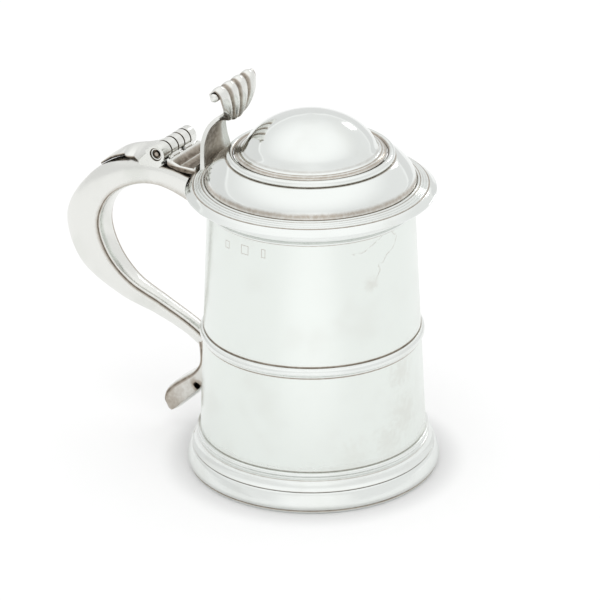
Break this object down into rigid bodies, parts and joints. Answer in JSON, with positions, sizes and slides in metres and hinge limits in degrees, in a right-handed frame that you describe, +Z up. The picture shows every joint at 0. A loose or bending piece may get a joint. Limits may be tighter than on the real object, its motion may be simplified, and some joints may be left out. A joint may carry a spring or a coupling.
{
  "type": "lidded tankard",
  "caption": "Tapered silver drinking tankard with a moulded foot, mid band, stepped domed lid on a pinned hinge, fan thumbpiece and hollow scroll handle.",
  "frame": {"origin": "middle of the length and width of the whole object, on the plane that the foot stands on", "axes": "+Z up; the handle points along -X and the front of the cup along +X; the hinge pin lies along Y"},
  "size_m": [0.1994, 0.1224, 0.1893],
  "materials": {
    "silver_bright": "old silver, bright hand polish with fine scratches and grey tarnish in the corners",
    "silver_warm": "old silver, softer polish, slightly warm, tarnish along the seams",
    "silver_tarnished": "cast silver, brown-grey tarnish in the hollows and bright on the worn edges"
  },
  "bodies": {
    "mug": {"body_drum": "silver_bright", "base_disc": "silver_warm", "foot_bead": "silver_bright", "foot_skirt": "silver_bright", "foot_rim": "silver_bright", "girdle_wire": "silver_bright", "lip_wire": "silver_bright", "handle_shell": "silver_warm", "handle_strap": "silver_warm", "handle_terminal": "silver_tarnished", "hinge_leaf": "silver_warm", "hinge_knuckle_near": "silver_warm", "hinge_knuckle_middle": "silver_warm", "hinge_knuckle_far": "silver_warm", "hinge_pin": "silver_tarnished", "pin_washer_near": "silver_tarnished", "pin_washer_far": "silver_tarnished"},
    "lid": {"lid_bezel": "silver_bright", "lid_flange": "silver_bright", "lid_lower_dome": "silver_bright", "lid_step_wire": "silver_bright", "lid_upper_dome": "silver_bright", "lid_hinge_plate": "silver_tarnished", "thumbpiece": "silver_tarnished", "hinge_knuckle_inner_near": "silver_warm", "hinge_knuckle_inner_far": "silver_warm"}
  },
  "joints": [
    {"name": "lid_hinge", "type": "hinge", "parent": "mug", "child": "lid", "pos_m": [-0.03805, 0, 0.149], "axis": [0, -1, 0], "range_deg": [0, 110]}
  ]
}
